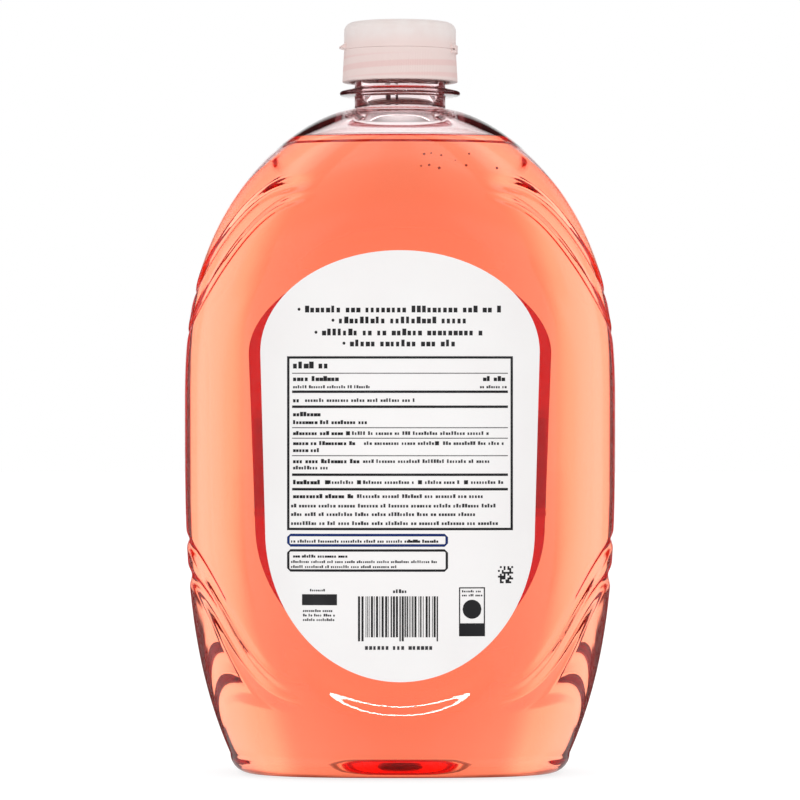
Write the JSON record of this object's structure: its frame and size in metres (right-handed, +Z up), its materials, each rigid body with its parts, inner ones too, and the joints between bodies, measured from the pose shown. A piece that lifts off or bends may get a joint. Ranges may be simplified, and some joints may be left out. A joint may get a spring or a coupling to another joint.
{
  "type": "liquid soap refill bottle",
  "caption": "Tall flat clear bottle filled with coral liquid soap, with oval label panels, swept grooves and a screwed flip-top cap.",
  "frame": {"origin": "centre of the base, on the ground the bottle stands on", "axes": "+Z up through the neck, X across the width with the lid's hinge at +X, and the back label facing -Y"},
  "size_m": [0.144, 0.0746, 0.2505],
  "materials": {
    "clear_plastic": "clear gloss",
    "coral_soap": "clear coral liquid",
    "white_film": "satin film",
    "red_film": "satin film",
    "frosted_plastic": "frosted translucent"
  },
  "bodies": {
    "bottle": {"bottle": "clear_plastic", "soap_fill": "coral_soap", "back_label": "white_film", "front_label": "red_film"},
    "cap": {"cap": "frosted_plastic"},
    "lid": {"flip_lid": "frosted_plastic"}
  },
  "joints": [
    {"name": "cap_turn", "type": "hinge", "parent": "bottle", "child": "cap", "pos_m": [0, 0, 0.235], "axis": [0, 0, 1], "range_deg": [0, 450]},
    {"name": "lid_hinge", "type": "hinge", "parent": "cap", "child": "lid", "pos_m": [0.0192, 0, 0.24135], "axis": [0, 1, 0], "range_deg": [0, 140]}
  ]
}
